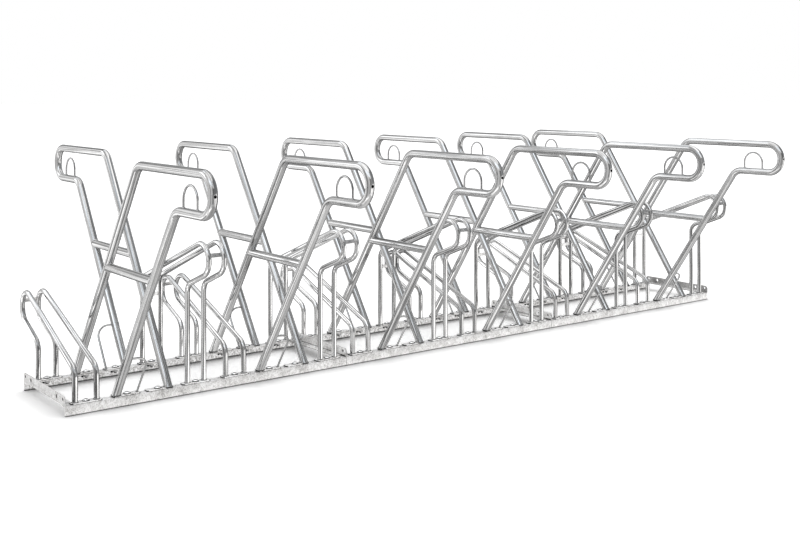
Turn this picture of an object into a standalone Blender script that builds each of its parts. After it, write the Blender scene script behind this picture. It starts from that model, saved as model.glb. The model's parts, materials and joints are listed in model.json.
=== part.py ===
# Two-sided bike parking row, in metres, with Z up and X along the row.
# Equal modules stand end to end. Each has two rails and two cross angles, and in each bay
# a low and a high wheel holder and two leaning hoops, one towards each side.
# The origin is on the floor at the middle of the row.

from math import cos, radians, sin, tan

import bmesh
import bpy
from mathutils import Matrix, Vector

# Row
MODULES = 3
BAYS = 2
BAY = 0.5
WIDTH = 0.356  # over the rails' outer faces
JOINT_GAP = 0.0005  # between two modules
SEAT = 0.0003  # between pieces that rest on each other

# Rolled angle of the rails and the cross members
ANGLE_LEG = 0.03
ANGLE_WALL = 0.003
ANGLE_ROOT = 0.004
END_CORNER = 0.013  # radius of a cross angle's upper corners
COUPLING_SPREAD = 0.222  # between a joint's coupling bolts
COUPLING_UP = 0.0172  # bolt axis above the rails
DRAIN_IN = 0.016  # drain hole from the end of a cross angle
DRAIN_UP = 0.019
DRAIN_HOLE = 0.008

# Foot straps
STRAP_WALL = 0.004
STRAP_INSET = 0.002  # from the rail's outer face
STRAP_APART = 0.02  # between the straps of the two hoops of a bay
STRAP_PAST_HOOP = 0.0008  # past a hoop's tube
STRAP_PAST_LOOP = 0.0066  # past the tubes of a wheel holder

# Hoops
HOOP_ROW = 0.1655  # from the bay's end to the hoop's plane
HOOP_TUBE = 0.0269
HOOP_LEAN = radians(34.7)
HOOP_BACK = 0.002  # feet behind the rails' middle lines
HOOP_REACH = 0.605  # from the rail's outer face to the hook's end
HOOP_TOP = 0.739
HOOK_DROP = 0.111  # from the top bar down to the lower bar
CROSS_BAR_UP = 0.414

# Locking eyes
EYE_ROD = 0.006
HOOK_EYE_WIDE = 0.083
HOOK_EYE_TALL = 0.076
HOOK_EYE_SHIFT = 0.006  # outwards from the middle of the lower bar
FOOT_EYE_ALONG = 0.1505  # up the leg from the strap
FOOT_EYE_EDGE = 0.007  # from the strap's end
FOOT_EYE_FLAT = 0.0255  # from the leg's middle to the eye's bend

# Wheel holders
HOLDER_ROW = 0.07
LOOP_TUBE = 0.0172
LOOP_MOUTH = 0.057  # between the loops' middles at the mouth's foot
LOOP_BACK = 0.0665  # and at the back foot
LOOP_SLOPE = radians(21.25)
LOOP_RADIUS = 0.05  # at the mouth
LOOP_BEND = 0.04
HIGH_REACH = 0.126
HIGH_UP = 0.432  # middle of the mouth's radius above the floor
LOW_REACH = 0.142
LOW_UP = 0.244
FLAT_TALL = 0.0135
FLAT_WALL = 0.004
BACK_PLATE_UP = 0.262

# Coupling bolts
BOLT = 0.01
BOLT_HOLE = 0.0116
BOLT_HEX = 0.017
BOLT_HEAD = 0.0064
BOLT_NUT = 0.0084
BOLT_WASHER = 0.02
WASHER_WALL = 0.002
BOLT_END = 0.004  # thread past the nut

# Facets
TUBE_SIDES = 8
ROD_SIDES = 6
BEND_STEPS = 2
TURN_STEPS = 3
ROOT_STEPS = 3
BOLT_SIDES = 8
DRAIN_SIDES = 6
WASHER_SIDES = 12
SHARP_FROM = radians(62)
FLAT_WITHIN = radians(0.1)
OVERRUN = 0.02  # of tubes and cutters past a cut

# Derived sizes
HALF_FACET = radians(180) / TUBE_SIDES  # turns a cross bar's facets between those of its legs
MODULE = BAYS * BAY - JOINT_GAP
STRAP_UNDER = ANGLE_LEG + SEAT
STRAP_MIDDLE = STRAP_UNDER + STRAP_WALL / 2
STRAP_TOP = STRAP_UNDER + STRAP_WALL
HOOP_STRAP_OUT = BAY / 2 - HOOP_ROW - STRAP_APART / 2
HOOP_LOW = HOOP_TOP - HOOK_DROP
NEAR_FOOT = -ANGLE_LEG / 2
FAR_FOOT = ANGLE_LEG / 2 - WIDTH


# Scene helpers


def clear_scene():
    for obj in list(bpy.data.objects):
        bpy.data.objects.remove(obj, do_unlink=True)
    for group in list(bpy.data.collections):
        bpy.data.collections.remove(group)


def new_collection(name):
    group = bpy.data.collections.new(name)
    bpy.context.scene.collection.children.link(group)
    return group


def steel(name, colour, roughness):
    """Galvanised steel as a Principled BSDF material."""
    made = bpy.data.materials.new(name)
    made.use_nodes = True
    shader = made.node_tree.nodes["Principled BSDF"]
    shader.inputs["Base Color"].default_value = (*colour, 1)
    shader.inputs["Roughness"].default_value = roughness
    shader.inputs["Metallic"].default_value = 1
    return made


def as_cutter(obj):
    """Links a helper solid, which shows only as wire."""
    CUTTERS.objects.link(obj)
    obj.hide_render = True
    obj.display_type = "WIRE"
    return obj


def evaluated_mesh(obj):
    bpy.context.view_layer.update()
    return bpy.data.meshes.new_from_object(obj.evaluated_get(bpy.context.evaluated_depsgraph_get()))


def from_curve(curve, matrix):
    """Turns a curve into a closed mesh object, with its caps welded on."""
    source = as_cutter(bpy.data.objects.new(curve.name, curve))
    source.matrix_world = matrix
    mesh = evaluated_mesh(source)
    edit = bmesh.new()
    edit.from_mesh(mesh)
    bmesh.ops.remove_doubles(edit, verts=edit.verts, dist=0.000001)
    bmesh.ops.recalc_face_normals(edit, faces=edit.faces)
    edit.to_mesh(mesh)
    edit.free()
    made = as_cutter(bpy.data.objects.new(curve.name, mesh))
    made.matrix_world = matrix
    bpy.data.objects.remove(source)
    return made


def box(name, low, high):
    """A block between two corners."""
    size = Vector(high) - Vector(low)
    fitted = Matrix.Translation((Vector(low) + Vector(high)) / 2) @ Matrix.Diagonal((*size, 1))
    mesh = bpy.data.meshes.new(name)
    edit = bmesh.new()
    bmesh.ops.create_cube(edit, size=1, matrix=fitted)
    edit.to_mesh(mesh)
    edit.free()
    return as_cutter(bpy.data.objects.new(name, mesh))


def round_bar(name, start, end, across, sides):
    """A round or hexagonal bar along X."""
    mesh = bpy.data.meshes.new(name)
    edit = bmesh.new()
    turn = Matrix.Translation(((start + end) / 2, 0, 0)) @ Matrix.Rotation(radians(90), 4, "Y")
    radius = across / 2
    length = end - start
    bmesh.ops.create_cone(
        edit, cap_ends=True, segments=sides, radius1=radius, radius2=radius, depth=length, matrix=turn
    )
    edit.to_mesh(mesh)
    edit.free()
    return as_cutter(bpy.data.objects.new(name, mesh))


def combine(name, operation, base, others):
    """Joins the others to the base, or cuts them from it, and uses them all up."""
    for other in others:
        step = base.modifiers.new(other.name, "BOOLEAN")
        step.operation = operation
        step.solver = "EXACT"
        step.object = other
    mesh = evaluated_mesh(base)
    mesh.name = name
    made = as_cutter(bpy.data.objects.new(name, mesh))
    made.matrix_world = base.matrix_world
    for used in [base, *others]:
        bpy.data.objects.remove(used)
    return made


def merge_flat(mesh):
    """Joins the faces that lie in one plane, which a Boolean leaves split."""
    edit = bmesh.new()
    edit.from_mesh(mesh)
    bmesh.ops.dissolve_limit(edit, angle_limit=FLAT_WITHIN, verts=edit.verts, edges=edit.edges)
    edit.to_mesh(mesh)
    edit.free()


def finish(solid, material):
    """Takes the mesh of a helper solid, shaded and with one material."""
    mesh = solid.data
    mesh.transform(solid.matrix_world)
    bpy.data.objects.remove(solid)
    merge_flat(mesh)
    mesh.materials.clear()
    mesh.materials.append(material)
    mesh.shade_smooth()
    mesh.set_sharp_from_angle(angle=SHARP_FROM)
    return mesh


def place(name, mesh, location, turned=False):
    """One named piece of the row; a turned piece faces the other side."""
    obj = bpy.data.objects.new(name, mesh)
    ROW.objects.link(obj)
    obj.parent = FRAME
    obj.location = location
    obj.rotation_euler = (0, 0, radians(180) if turned else 0)
    return obj


# Paths


def fillet(before, corner, after, radius, steps):
    """Points of the arc that rounds a corner between two straight runs."""
    back = (before - corner).normalized()
    ahead = (after - corner).normalized()
    half = back.angle(ahead) / 2
    start = corner + back * (radius / tan(half))
    centre = corner + (back + ahead).normalized() * (radius / sin(half))
    axis = (start - centre).cross(corner + ahead * (radius / tan(half)) - centre)
    turn = (radians(180) - 2 * half) / steps
    return [centre + Matrix.Rotation(turn * k, 3, axis) @ (start - centre) for k in range(steps + 1)]


def bent(corners, radii, steps):
    """A path through corners, each rounded by its radius."""
    path = [corners[0]]
    for i, (radius, count) in enumerate(zip(radii, steps), 1):
        arc = fillet(corners[i - 1], corners[i], corners[i + 1], radius, count)
        joined = (arc[0] - path[-1]).length < SEAT
        path += arc[1:] if joined else arc
    return [*path, corners[-1]]


def tube(name, path, across, sides, tilt=0.0):
    """A round tube or rod along a path, its facets turned by the tilt."""
    curve = bpy.data.curves.new(name, "CURVE")
    curve.dimensions = "3D"
    curve.bevel_depth = across / 2
    curve.bevel_resolution = sides // 2 - 2
    curve.use_fill_caps = True
    spline = curve.splines.new("POLY")
    spline.points.add(len(path) - 1)
    for point, where in zip(spline.points, path):
        point.co = (*where, 1)
        point.tilt = tilt
    return from_curve(curve, Matrix())


def outline(curve, points):
    """Adds a closed run of points to a flat curve."""
    spline = curve.splines.new("POLY")
    spline.points.add(len(points) - 1)
    for point, where in zip(spline.points, points):
        point.co = (where[0], where[1], 0, 1)
    spline.use_cyclic_u = True


def plate(name, outlines, wall, matrix):
    """A flat plate from its outline, with the other outlines as holes."""
    curve = bpy.data.curves.new(name, "CURVE")
    curve.dimensions = "2D"
    curve.fill_mode = "BOTH"
    curve.extrude = wall / 2
    for points in outlines:
        outline(curve, points)
    return from_curve(curve, matrix)


def ring(x, y, across, sides):
    """Points of a round hole."""
    turns = [radians(360) * (k + 0.5) / sides for k in range(sides)]
    return [(x + across / 2 * cos(a), y + across / 2 * sin(a)) for a in turns]


# Rails and cross angles


def angle_section():
    """Section of the rolled angle, heel at the outer top corner, as (inwards, up)."""
    leg = ANGLE_LEG
    wall = ANGLE_WALL
    inner = Vector((wall, leg - wall, 0))
    root = fillet(Vector((wall, 0, 0)), inner, Vector((leg, leg - wall, 0)), ANGLE_ROOT, ROOT_STEPS)
    return [(0, 0), (wall, 0), *[(p.x, p.y) for p in root], (leg, leg - wall), (leg, leg), (0, leg)]


def rail_mesh():
    """A rail along X, with its outer face at Y 0 and its flange towards +Y."""
    lie = Matrix.Rotation(radians(90), 4, "Z") @ Matrix.Rotation(radians(90), 4, "X")
    return finish(plate("rail", [angle_section()], MODULE, lie), ROLLED)


def cross_blank():
    """The outline of a cross angle seen along the row, with rounded corners and drilled holes."""
    half = WIDTH / 2
    top = STRAP_UNDER + ANGLE_LEG
    low = STRAP_UNDER - OVERRUN
    ends = [Vector((-half, low, 0)), Vector((-half, top, 0)), Vector((half, top, 0)), Vector((half, low, 0))]
    edge = [(p.x, p.y) for p in bent(ends, [END_CORNER] * 2, [BEND_STEPS] * 2)]
    holes = [ring(s * COUPLING_SPREAD / 2, STRAP_UNDER + COUPLING_UP, BOLT_HOLE, BOLT_SIDES) for s in (-1, 1)]
    holes += [ring(s * (half - DRAIN_IN), STRAP_UNDER + DRAIN_UP, DRAIN_HOLE, DRAIN_SIDES) for s in (-1, 1)]
    stand = Matrix.Rotation(radians(90), 4, "Z") @ Matrix.Rotation(radians(90), 4, "X")
    return plate("blank", [edge, *holes], 2 * ANGLE_LEG + OVERRUN, stand)


def cross_cope(side):
    """What is sawn off the lower flange at one end, beside the straps on the rail."""
    ends = sorted((side * (WIDTH / 2 - ANGLE_LEG - SEAT), side * (WIDTH / 2 + OVERRUN)))
    low = (ANGLE_WALL, ends[0], STRAP_UNDER - OVERRUN)
    return box("cope", low, (ANGLE_LEG + OVERRUN, ends[1], STRAP_UNDER + ANGLE_LEG))


def cross_mesh():
    """A cross angle over both rails, its back at X 0 and its lower flange towards +X."""
    lie = Matrix.Translation((0, 0, STRAP_UNDER + ANGLE_LEG)) @ Matrix.Rotation(radians(-90), 4, "X")
    bar = plate("cross", [angle_section()], WIDTH + OVERRUN, lie)
    shaped = combine("cross", "INTERSECT", bar, [cross_blank()])
    return finish(combine("cross", "DIFFERENCE", shaped, [cross_cope(-1), cross_cope(1)]), ROLLED)


def bolt_mesh():
    """A coupling bolt along X through two flanges that meet at X 0, with washers and nut."""
    face = JOINT_GAP / 2 + ANGLE_WALL + SEAT
    seat = face + WASHER_WALL
    nut = seat + BOLT_NUT
    flats = BOLT_HEX / cos(radians(30))
    sunk = WASHER_WALL / 2
    shank = round_bar("shank", -seat - sunk, nut + BOLT_END, BOLT, BOLT_SIDES)
    parts = [
        round_bar("washer", -seat, -face, BOLT_WASHER, WASHER_SIDES),
        round_bar("washer", face, seat, BOLT_WASHER, WASHER_SIDES),
        round_bar("head", -seat - BOLT_HEAD, -seat + sunk, flats, 6),
        round_bar("nut", seat - sunk, nut, flats, 6),
    ]
    return finish(combine("bolt", "UNION", shank, parts), PLATED)


# Hoops, with Y outwards from the rail's outer face


def leg_point(foot, up, x=0.0):
    """A point on a leaning leg's middle line at a height."""
    return Vector((x, foot - HOOP_BACK + (up - STRAP_TOP) * tan(HOOP_LEAN), up))


def hoop_tube():
    """The bent tube: short leg, lower bar, hook, top bar and long leg."""
    bend = HOOK_DROP / 2
    corners = [
        leg_point(NEAR_FOOT, STRAP_UNDER - OVERRUN),
        leg_point(NEAR_FOOT, HOOP_LOW),
        Vector((0, HOOP_REACH, HOOP_LOW)),
        Vector((0, HOOP_REACH, HOOP_TOP)),
        leg_point(FAR_FOOT, HOOP_TOP),
        leg_point(FAR_FOOT, STRAP_UNDER - OVERRUN),
    ]
    path = bent(corners, [bend] * 4, [BEND_STEPS, TURN_STEPS, TURN_STEPS, BEND_STEPS])
    return tube("hoop", path, HOOP_TUBE, TUBE_SIDES)


def cross_bar():
    """The level bar between the two legs."""
    path = [leg_point(NEAR_FOOT, CROSS_BAR_UP), leg_point(FAR_FOOT, CROSS_BAR_UP)]
    return tube("cross_bar", path, HOOP_TUBE, TUBE_SIDES, HALF_FACET)


def hook_eye():
    """The upright locking eye on the lower bar."""
    half = HOOK_EYE_WIDE / 2
    corner = leg_point(NEAR_FOOT, HOOP_LOW).y
    middle = (corner + HOOP_REACH - HOOK_DROP / 2) / 2 + HOOK_EYE_SHIFT
    top = HOOP_LOW + HOOK_EYE_TALL
    shape = [(middle - half, HOOP_LOW), (middle - half, top), (middle + half, top), (middle + half, HOOP_LOW)]
    path = bent([Vector((0, y, z)) for y, z in shape], [half, half], [TURN_STEPS, TURN_STEPS])
    return tube("hook_eye", path, EYE_ROD, ROD_SIDES)


def foot_eye():
    """The locking eye beside the short leg, in the leg's leaning plane."""
    up = STRAP_TOP + FOOT_EYE_ALONG * cos(HOOP_LEAN)
    out = FOOT_EYE_EDGE - HOOP_STRAP_OUT
    corners = [
        leg_point(NEAR_FOOT, up),
        leg_point(NEAR_FOOT, up, out),
        leg_point(NEAR_FOOT, STRAP_UNDER - OVERRUN, out),
    ]
    path = bent(corners, [-out - FOOT_EYE_FLAT], [TURN_STEPS])
    return tube("foot_eye", path, EYE_ROD, ROD_SIDES)


def strap(left, right, foot):
    """A foot strap between two X positions, over the rail whose middle is at foot."""
    half = ANGLE_LEG / 2 - STRAP_INSET
    return box("strap", (left, foot - half, STRAP_UNDER), (right, foot + half, STRAP_TOP))


def below_feet():
    """Everything under the middle of the straps, for cutting the tubes level."""
    wide = WIDTH + HOOP_REACH
    low = STRAP_UNDER - WIDTH
    return box("below", (-wide, -wide, low), (wide, wide, STRAP_MIDDLE))


def hoop_mesh():
    """A whole welded hoop."""
    frame = combine("hoop", "UNION", hoop_tube(), [cross_bar(), hook_eye(), foot_eye()])
    frame = combine("hoop", "DIFFERENCE", frame, [below_feet()])
    inner = HOOP_TUBE / 2 + STRAP_PAST_HOOP
    feet = [strap(-HOOP_STRAP_OUT, inner, foot) for foot in (NEAR_FOOT, FAR_FOOT)]
    return finish(combine("hoop", "UNION", frame, feet), TUBED)


# Wheel holders, with Y outwards from the rail's outer face


def loop_side(y):
    """Distance of a loop from the holder's middle plane; the pair opens towards the back."""
    share = (NEAR_FOOT - y) / (NEAR_FOOT - FAR_FOOT)
    return (LOOP_MOUTH + (LOOP_BACK - LOOP_MOUTH) * share) / 2


def turn_centre(reach, up):
    return Vector((0, reach - LOOP_RADIUS, up))


def loop_tube(side, reach, up):
    """One bent loop: front leg, lower slant, turn at the mouth, upper slope and back leg."""
    along = Vector((0, cos(LOOP_SLOPE), sin(LOOP_SLOPE)))
    across = Vector((0, -sin(LOOP_SLOPE), cos(LOOP_SLOPE)))
    end = turn_centre(reach, up) + along * LOOP_RADIUS
    low = end - across * LOOP_RADIUS
    high = end + across * LOOP_RADIUS
    front = low - along * ((low.y - NEAR_FOOT) / along.y)
    back = high - along * ((high.y - FAR_FOOT) / along.y)
    base = STRAP_UNDER - OVERRUN
    corners = [Vector((0, NEAR_FOOT, base)), front, low, high, back, Vector((0, FAR_FOOT, base))]
    splayed = [Vector((side * loop_side(p.y), p.y, p.z)) for p in corners]
    radii = [LOOP_BEND, LOOP_RADIUS, LOOP_RADIUS, LOOP_BEND]
    path = bent(splayed, radii, [BEND_STEPS, TURN_STEPS, TURN_STEPS, BEND_STEPS])
    return tube("loop", path, LOOP_TUBE, ROD_SIDES)


def flat_bar(middle, lean):
    """A flat bar across the pair of loops, leaning back from upright."""
    half = loop_side(middle.y)
    bar = box("flat", (-half, -FLAT_WALL / 2, -FLAT_TALL / 2), (half, FLAT_WALL / 2, FLAT_TALL / 2))
    bar.data.transform(Matrix.Translation(middle) @ Matrix.Rotation(lean, 4, "X"))
    return bar


def mouth_bar(reach, up):
    """The bar at the end of the turns, which the tyre rests on."""
    out = Vector((0, cos(LOOP_SLOPE), sin(LOOP_SLOPE))) * LOOP_RADIUS
    return flat_bar(turn_centre(reach, up) + out, LOOP_SLOPE)


def holder_mesh(name, reach, up, bars):
    """A whole welded wheel holder: two loops, their flat bars and the straps."""
    left, right = [loop_tube(side, reach, up) for side in (-1, 1)]
    bars = [mouth_bar(reach, up), *bars]
    frame = combine(name, "UNION", left, [right, *bars])
    frame = combine(name, "DIFFERENCE", frame, [below_feet()])
    half = (LOOP_BACK + LOOP_TUBE) / 2 + STRAP_PAST_LOOP
    feet = [strap(-half, half, foot) for foot in (NEAR_FOOT, FAR_FOOT)]
    return finish(combine(name, "UNION", frame, feet), TUBED)


# Assembly


def build_frame(rail, cross):
    """Rails on both sides and a cross angle at each end of every module."""
    for m in range(MODULES):
        middle = (m - (MODULES - 1) / 2) * BAYS * BAY
        end = MODULE / 2
        place(f"near_rail_{m + 1}", rail, (middle, -WIDTH / 2, 0))
        place(f"far_rail_{m + 1}", rail, (middle, WIDTH / 2, 0), turned=True)
        place(f"left_cross_angle_{m + 1}", cross, (middle - end, 0, 0))
        place(f"right_cross_angle_{m + 1}", cross, (middle + end, 0, 0), turned=True)


def build_couplings(bolt):
    """Two bolts at each joint between modules."""
    for j in range(MODULES - 1):
        joint = (j + 1 - MODULES / 2) * BAYS * BAY
        for side, name in ((-1, "near"), (1, "far")):
            where = (joint, side * COUPLING_SPREAD / 2, STRAP_UNDER + COUPLING_UP)
            place(f"{name}_coupling_bolt_{j + 1}", bolt, where)


def build_bays(hoop, high, low):
    """A low holder, two hoops and a high holder in every bay."""
    side = WIDTH / 2
    for b in range(MODULES * BAYS):
        start = (b - MODULES * BAYS / 2) * BAY
        end = start + BAY
        place(f"low_holder_{b + 1}", low, (start + HOLDER_ROW, side, 0))
        place(f"near_hoop_{b + 1}", hoop, (start + HOOP_ROW, -side, 0), turned=True)
        place(f"far_hoop_{b + 1}", hoop, (end - HOOP_ROW, side, 0))
        place(f"high_holder_{b + 1}", high, (end - HOLDER_ROW, -side, 0), turned=True)


clear_scene()
ROW = new_collection("bike_parking_row")
CUTTERS = new_collection("cutters")
FRAME = bpy.data.objects.new("row_frame", None)
ROW.objects.link(FRAME)
ROLLED = steel("galvanised_angle", (0.66, 0.65, 0.63), 0.55)
TUBED = steel("galvanised_tube", (0.6, 0.61, 0.61), 0.32)
PLATED = steel("zinc_plated_bolt", (0.68, 0.68, 0.67), 0.3)
BACK_PLATE = flat_bar(Vector((0, FAR_FOOT, BACK_PLATE_UP)), 0)
HIGH = holder_mesh("high_holder", HIGH_REACH, HIGH_UP, [BACK_PLATE])
LOW = holder_mesh("low_holder", LOW_REACH, LOW_UP, [])
build_frame(rail_mesh(), cross_mesh())
build_couplings(bolt_mesh())
build_bays(hoop_mesh(), HIGH, LOW)
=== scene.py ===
"""Looks of a two-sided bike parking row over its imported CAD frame.

Metres, +Z up, X along the row. Tubes and rods are drawn along their middle lines, so their zinc
can run with the steel; plates and angles are cut, drilled and chamfered as in the workshop.
"""

import json
from math import ceil, cos, pi, radians, sin, sqrt, tan

import bmesh
import bpy
from mathutils import Matrix, Vector

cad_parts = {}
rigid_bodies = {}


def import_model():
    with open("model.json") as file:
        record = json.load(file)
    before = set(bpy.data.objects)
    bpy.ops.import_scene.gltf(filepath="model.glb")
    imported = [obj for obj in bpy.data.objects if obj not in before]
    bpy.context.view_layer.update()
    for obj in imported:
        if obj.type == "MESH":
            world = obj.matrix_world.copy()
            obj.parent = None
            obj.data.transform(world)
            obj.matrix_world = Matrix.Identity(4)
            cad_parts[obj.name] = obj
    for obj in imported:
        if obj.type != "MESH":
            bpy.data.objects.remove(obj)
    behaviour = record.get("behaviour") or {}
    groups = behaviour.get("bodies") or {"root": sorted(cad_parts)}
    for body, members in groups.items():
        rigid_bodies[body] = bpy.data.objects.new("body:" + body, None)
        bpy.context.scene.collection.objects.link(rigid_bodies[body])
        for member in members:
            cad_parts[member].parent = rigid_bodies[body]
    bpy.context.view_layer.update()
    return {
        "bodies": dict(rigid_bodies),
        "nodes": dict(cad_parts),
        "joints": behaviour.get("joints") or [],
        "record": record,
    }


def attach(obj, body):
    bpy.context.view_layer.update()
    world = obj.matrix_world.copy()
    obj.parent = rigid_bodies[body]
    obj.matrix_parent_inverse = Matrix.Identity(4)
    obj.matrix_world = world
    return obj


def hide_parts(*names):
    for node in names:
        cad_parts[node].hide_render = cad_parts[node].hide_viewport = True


# Row. Sizes of the solids are as in the CAD source, unless their comments say otherwise
MODULES = 3
BAYS = 2
BAY = 0.5
WIDTH = 0.356  # over the rails' outer faces
JOINT_GAP = 0.0005  # between two modules
RAIL_SHORT = 0.0007  # taken off each rail here, so that the joints show as a line, with painted deep shade on the rail ends
SEAT = 0.0003  # between pieces that rest on each other

# Rolled angle of the rails and the cross angles
ANGLE_LEG = 0.03
ANGLE_WALL = 0.003
ANGLE_ROOT = 0.004
ANGLE_TOE = 0.0014  # not in the CAD, as the next two
ANGLE_HEEL = 0.0006
ANGLE_EDGE = 0.0004
END_CORNER = 0.013  # radius of a cross angle's upper corners
COUPLING_SPREAD = 0.222  # between a joint's coupling bolts
COUPLING_UP = 0.0172  # bolt axis above the rails
COUPLING_HOLE = 0.0116
DRAIN_IN = 0.016  # drain hole from the end of a cross angle
DRAIN_UP = 0.019
DRAIN_HOLE = 0.009  # 1 mm over the CAD's
HOLES_FROM = 0.01  # all holes lie between these heights above the rails,
HOLES_TO = 0.024
HOLES_IN = 0.002  # and further than this from the ends

# Foot straps
STRAP_WALL = 0.004
STRAP_INSET = 0.002  # from the rail's outer face
STRAP_APART = 0.02  # between the straps of the two hoops of a bay
STRAP_PAST_HOOP = 0.0008  # past a hoop's tube
STRAP_PAST_LOOP = 0.0066  # past the tubes of a wheel holder
STRAP_EDGE = 0.0006  # not in the CAD, as the next one
STRAP_CORNER = 0.006

# Hoops
HOOP_ROW = 0.1655  # from the bay's end to the hoop's plane
HOOP_TUBE = 0.0271  # 0.2 mm over the CAD's
HOOP_LEAN = radians(34.7)
HOOP_BACK = 0.002  # feet behind the rails' middle lines
HOOP_REACH = 0.6048  # with the tube, just inside the CAD box, as the next one
HOOP_TOP = 0.7388
HOOK_DROP = 0.111  # from the top bar down to the lower bar
HOOK_HOLE = 0.0092  # drain hole, not in the CAD
CROSS_BAR_UP = 0.414
HOOP_BOLT_IN = 0.034  # from the leg's middle to the foot bolt

# Locking eyes
EYE_ROD = 0.0071  # 1.1 mm over the CAD's
HOOK_EYE_WIDE = 0.083
HOOK_EYE_TALL = 0.076
HOOK_EYE_SHIFT = 0.006  # outwards from the middle of the lower bar
FOOT_EYE_ALONG = 0.1505  # up the leg from the strap
FOOT_EYE_EDGE = 0.007  # from the strap's end
FOOT_EYE_FLAT = 0.0255  # from the leg's middle to the eye's bend

# Wheel holders
HOLDER_ROW = 0.07  # from the bay's end to the holder's middle
LOOP_TUBE = 0.0172
LOOP_MOUTH = 0.057  # between the loops' middles at the front feet
LOOP_BACK = 0.0665  # and at the back feet
LOOP_SLOPE = radians(21.25)
LOOP_RADIUS = 0.05  # at the mouth
LOOP_BEND = 0.04
HIGH_REACH = 0.126
HIGH_UP = 0.432  # middle of the mouth's radius above the floor
LOW_REACH = 0.142
LOW_UP = 0.244
FLAT_TALL = 0.0135
FLAT_WALL = 0.004
FLAT_EDGE = 0.0005
BACK_PLATE_UP = 0.262

# M10 hexagon bolts of the couplings
COUPLING_BOLT = 0.01
COUPLING_HEX = 0.017  # over the flats
COUPLING_HEAD = 0.0064
COUPLING_NUT = 0.0084
COUPLING_WASHER = 0.02
WASHER_WALL = 0.002
WASHER_EDGE = 0.0003
COUPLING_END = 0.004  # thread past the nut
HEX_FACE = 0.48  # radius of the round face on a head, in widths over its flats

# M10 mushroom-headed bolts of the straps, which the CAD leaves out
FOOT_BOLT = 0.01
FOOT_HEAD = 0.0242
FOOT_HEAD_TALL = 0.0062
FOOT_HEAD_RIM = 0.0011
FOOT_HEAD_EDGE = 0.0003
FOOT_NUT = 0.0084
FOOT_NUT_HEX = 0.017
FOOT_END = 0.0035  # thread past the nut
THREAD_DEEP = 0.0005
THREAD_PITCH = 0.0013

# Welds, which the CAD leaves out
LEG_WELD = 0.0019
BAR_WELD = 0.0017
ROD_WELD = 0.0012
FLAT_WELD = 0.0013
RIPPLE = 0.0026  # length of one ripple of a weld
RIPPLE_DEEP = 0.1  # of the weld's radius

# Mesh
BEND_STEP = radians(6)
TUBE_SIDES = 36
LOOP_SIDES = 28
ROD_SIDES = 14
WELD_SIDES = 7
RIPPLE_STEPS = 3
TURNED_SIDES = 32
HEX_TURNED_SIDES = 48
THREAD_SIDES = 20
DRILL_SIDES = 24
HOOK_DRILL_SIDES = 20
DOME_STEPS = 7
EDGE_STEPS = 2
FLAT_WITHIN = radians(0.1)  # faces that turn by less are joined
EDGE_FROM = radians(50)  # edges that turn by more are broken
SHARP_FROM = radians(38)  # edges that turn by more are shaded sharp
OVERRUN = 0.02  # of tubes and cutters past a cut

# Finishes of a piece, in their order on its mesh; UNLIT, BORE and NUT_BACK wear painted deep shade
FACE, INNER, UNLIT, TOP, TOE = range(5)  # rails and cross angles
TUBE, PLATE, BEAD, PLATE_END, EYE, BORE = range(6)  # hoops and wheel holders
BOLT, NUT_BACK = range(2)  # fasteners

# Zinc
FOOT_SHADE_LINE = 0.0036  # height of the painted shade line where an angle stands on something
STRAP_SHADE_LINE = 0.0014  # and where a strap lies on a rail
NUT_SHADE_UP = 0.018  # middle of the painted shade spot in the corner behind a foot nut
NUT_SHADE_ASIDE = 0.007
NUT_SHADE_SIZE = 0.01  # it clears within about half of this
STREAK_SHIFT = 3.7  # from one piece's streaks to the next one's

# Studio
PANEL_FAR = 40.0
PANEL_STEPS = 6
FLOOR_SIZE = 60.0
FLOOR_LIFT = 0.56  # how much paler the camera sees the floor
CONTACT_SHADE = 0.85  # how much darker painted shade makes it right at the steel
CONTACT_AHEAD = 0.85  # and how much more in front of the near rail
CONTACT_FAR = 0.09  # reach of that painted shade
SKY = 0.8
PANELS = {
    # left and right bearing, low and high elevation, level and warmth
    "overhead_panel": (0, 360, 61, 89, 1.6, 0.0),
    "left_back_panel": (-54, -28, 7, 37, 2.0, -0.01),
    "upper_back_panel": (-38, 28, 45, 60, 1.5, -0.03),
    "upper_left_panel": (-166, -94, 37, 60, 1.7, -0.06),
    "left_board": (-132, -58, -34, 24, 0.7, 0.0),
    "back_board": (-8, 14, -34, 44, 0.37, -0.01),
    "right_back_board": (14, 80, 2, 44, 0.66, -0.01),
    "dark_back_board": (14, 100, -34, 2, 0.14, 0.0),
    "right_board": (80, 168, 6, 60, 0.4, -0.025),
    "front_board": (168, 216, 3, 30, 0.32, 0.0),
    "low_front_board": (181, 228, -34, 3, 0.58, 0.0),
    "low_right_panel": (108, 159, -41, 4, 1.7, 0.008),
    "low_front_panel": (162, 179, -30, -5, 1.75, 0.01),
    "low_left_panel": (-98, -56, -47, -34, 2.0, 0.005),
    "low_corner_panel": (-142, -98, -55, -44, 2.0, 0.005),
    "low_back_panel": (-38, -10, -32, 4, 1.4, 0.0),
    "low_right_board": (80, 200, -60, -42, 0.74, 0.0),
    "low_back_board": (-56, 80, -60, -34, 0.66, 0.0),
    "low_board": (0, 360, -89, -60, 0.78, 0.004),
}

# Camera, fitted to the photograph
LENS = 50
SENSOR = 36
FRAME_SHIFT = -0.2231
CAMERA_PLACE = (-2.6914, -3.3593, 0.964)
CAMERA_TURN = radians(-37.326)

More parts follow.
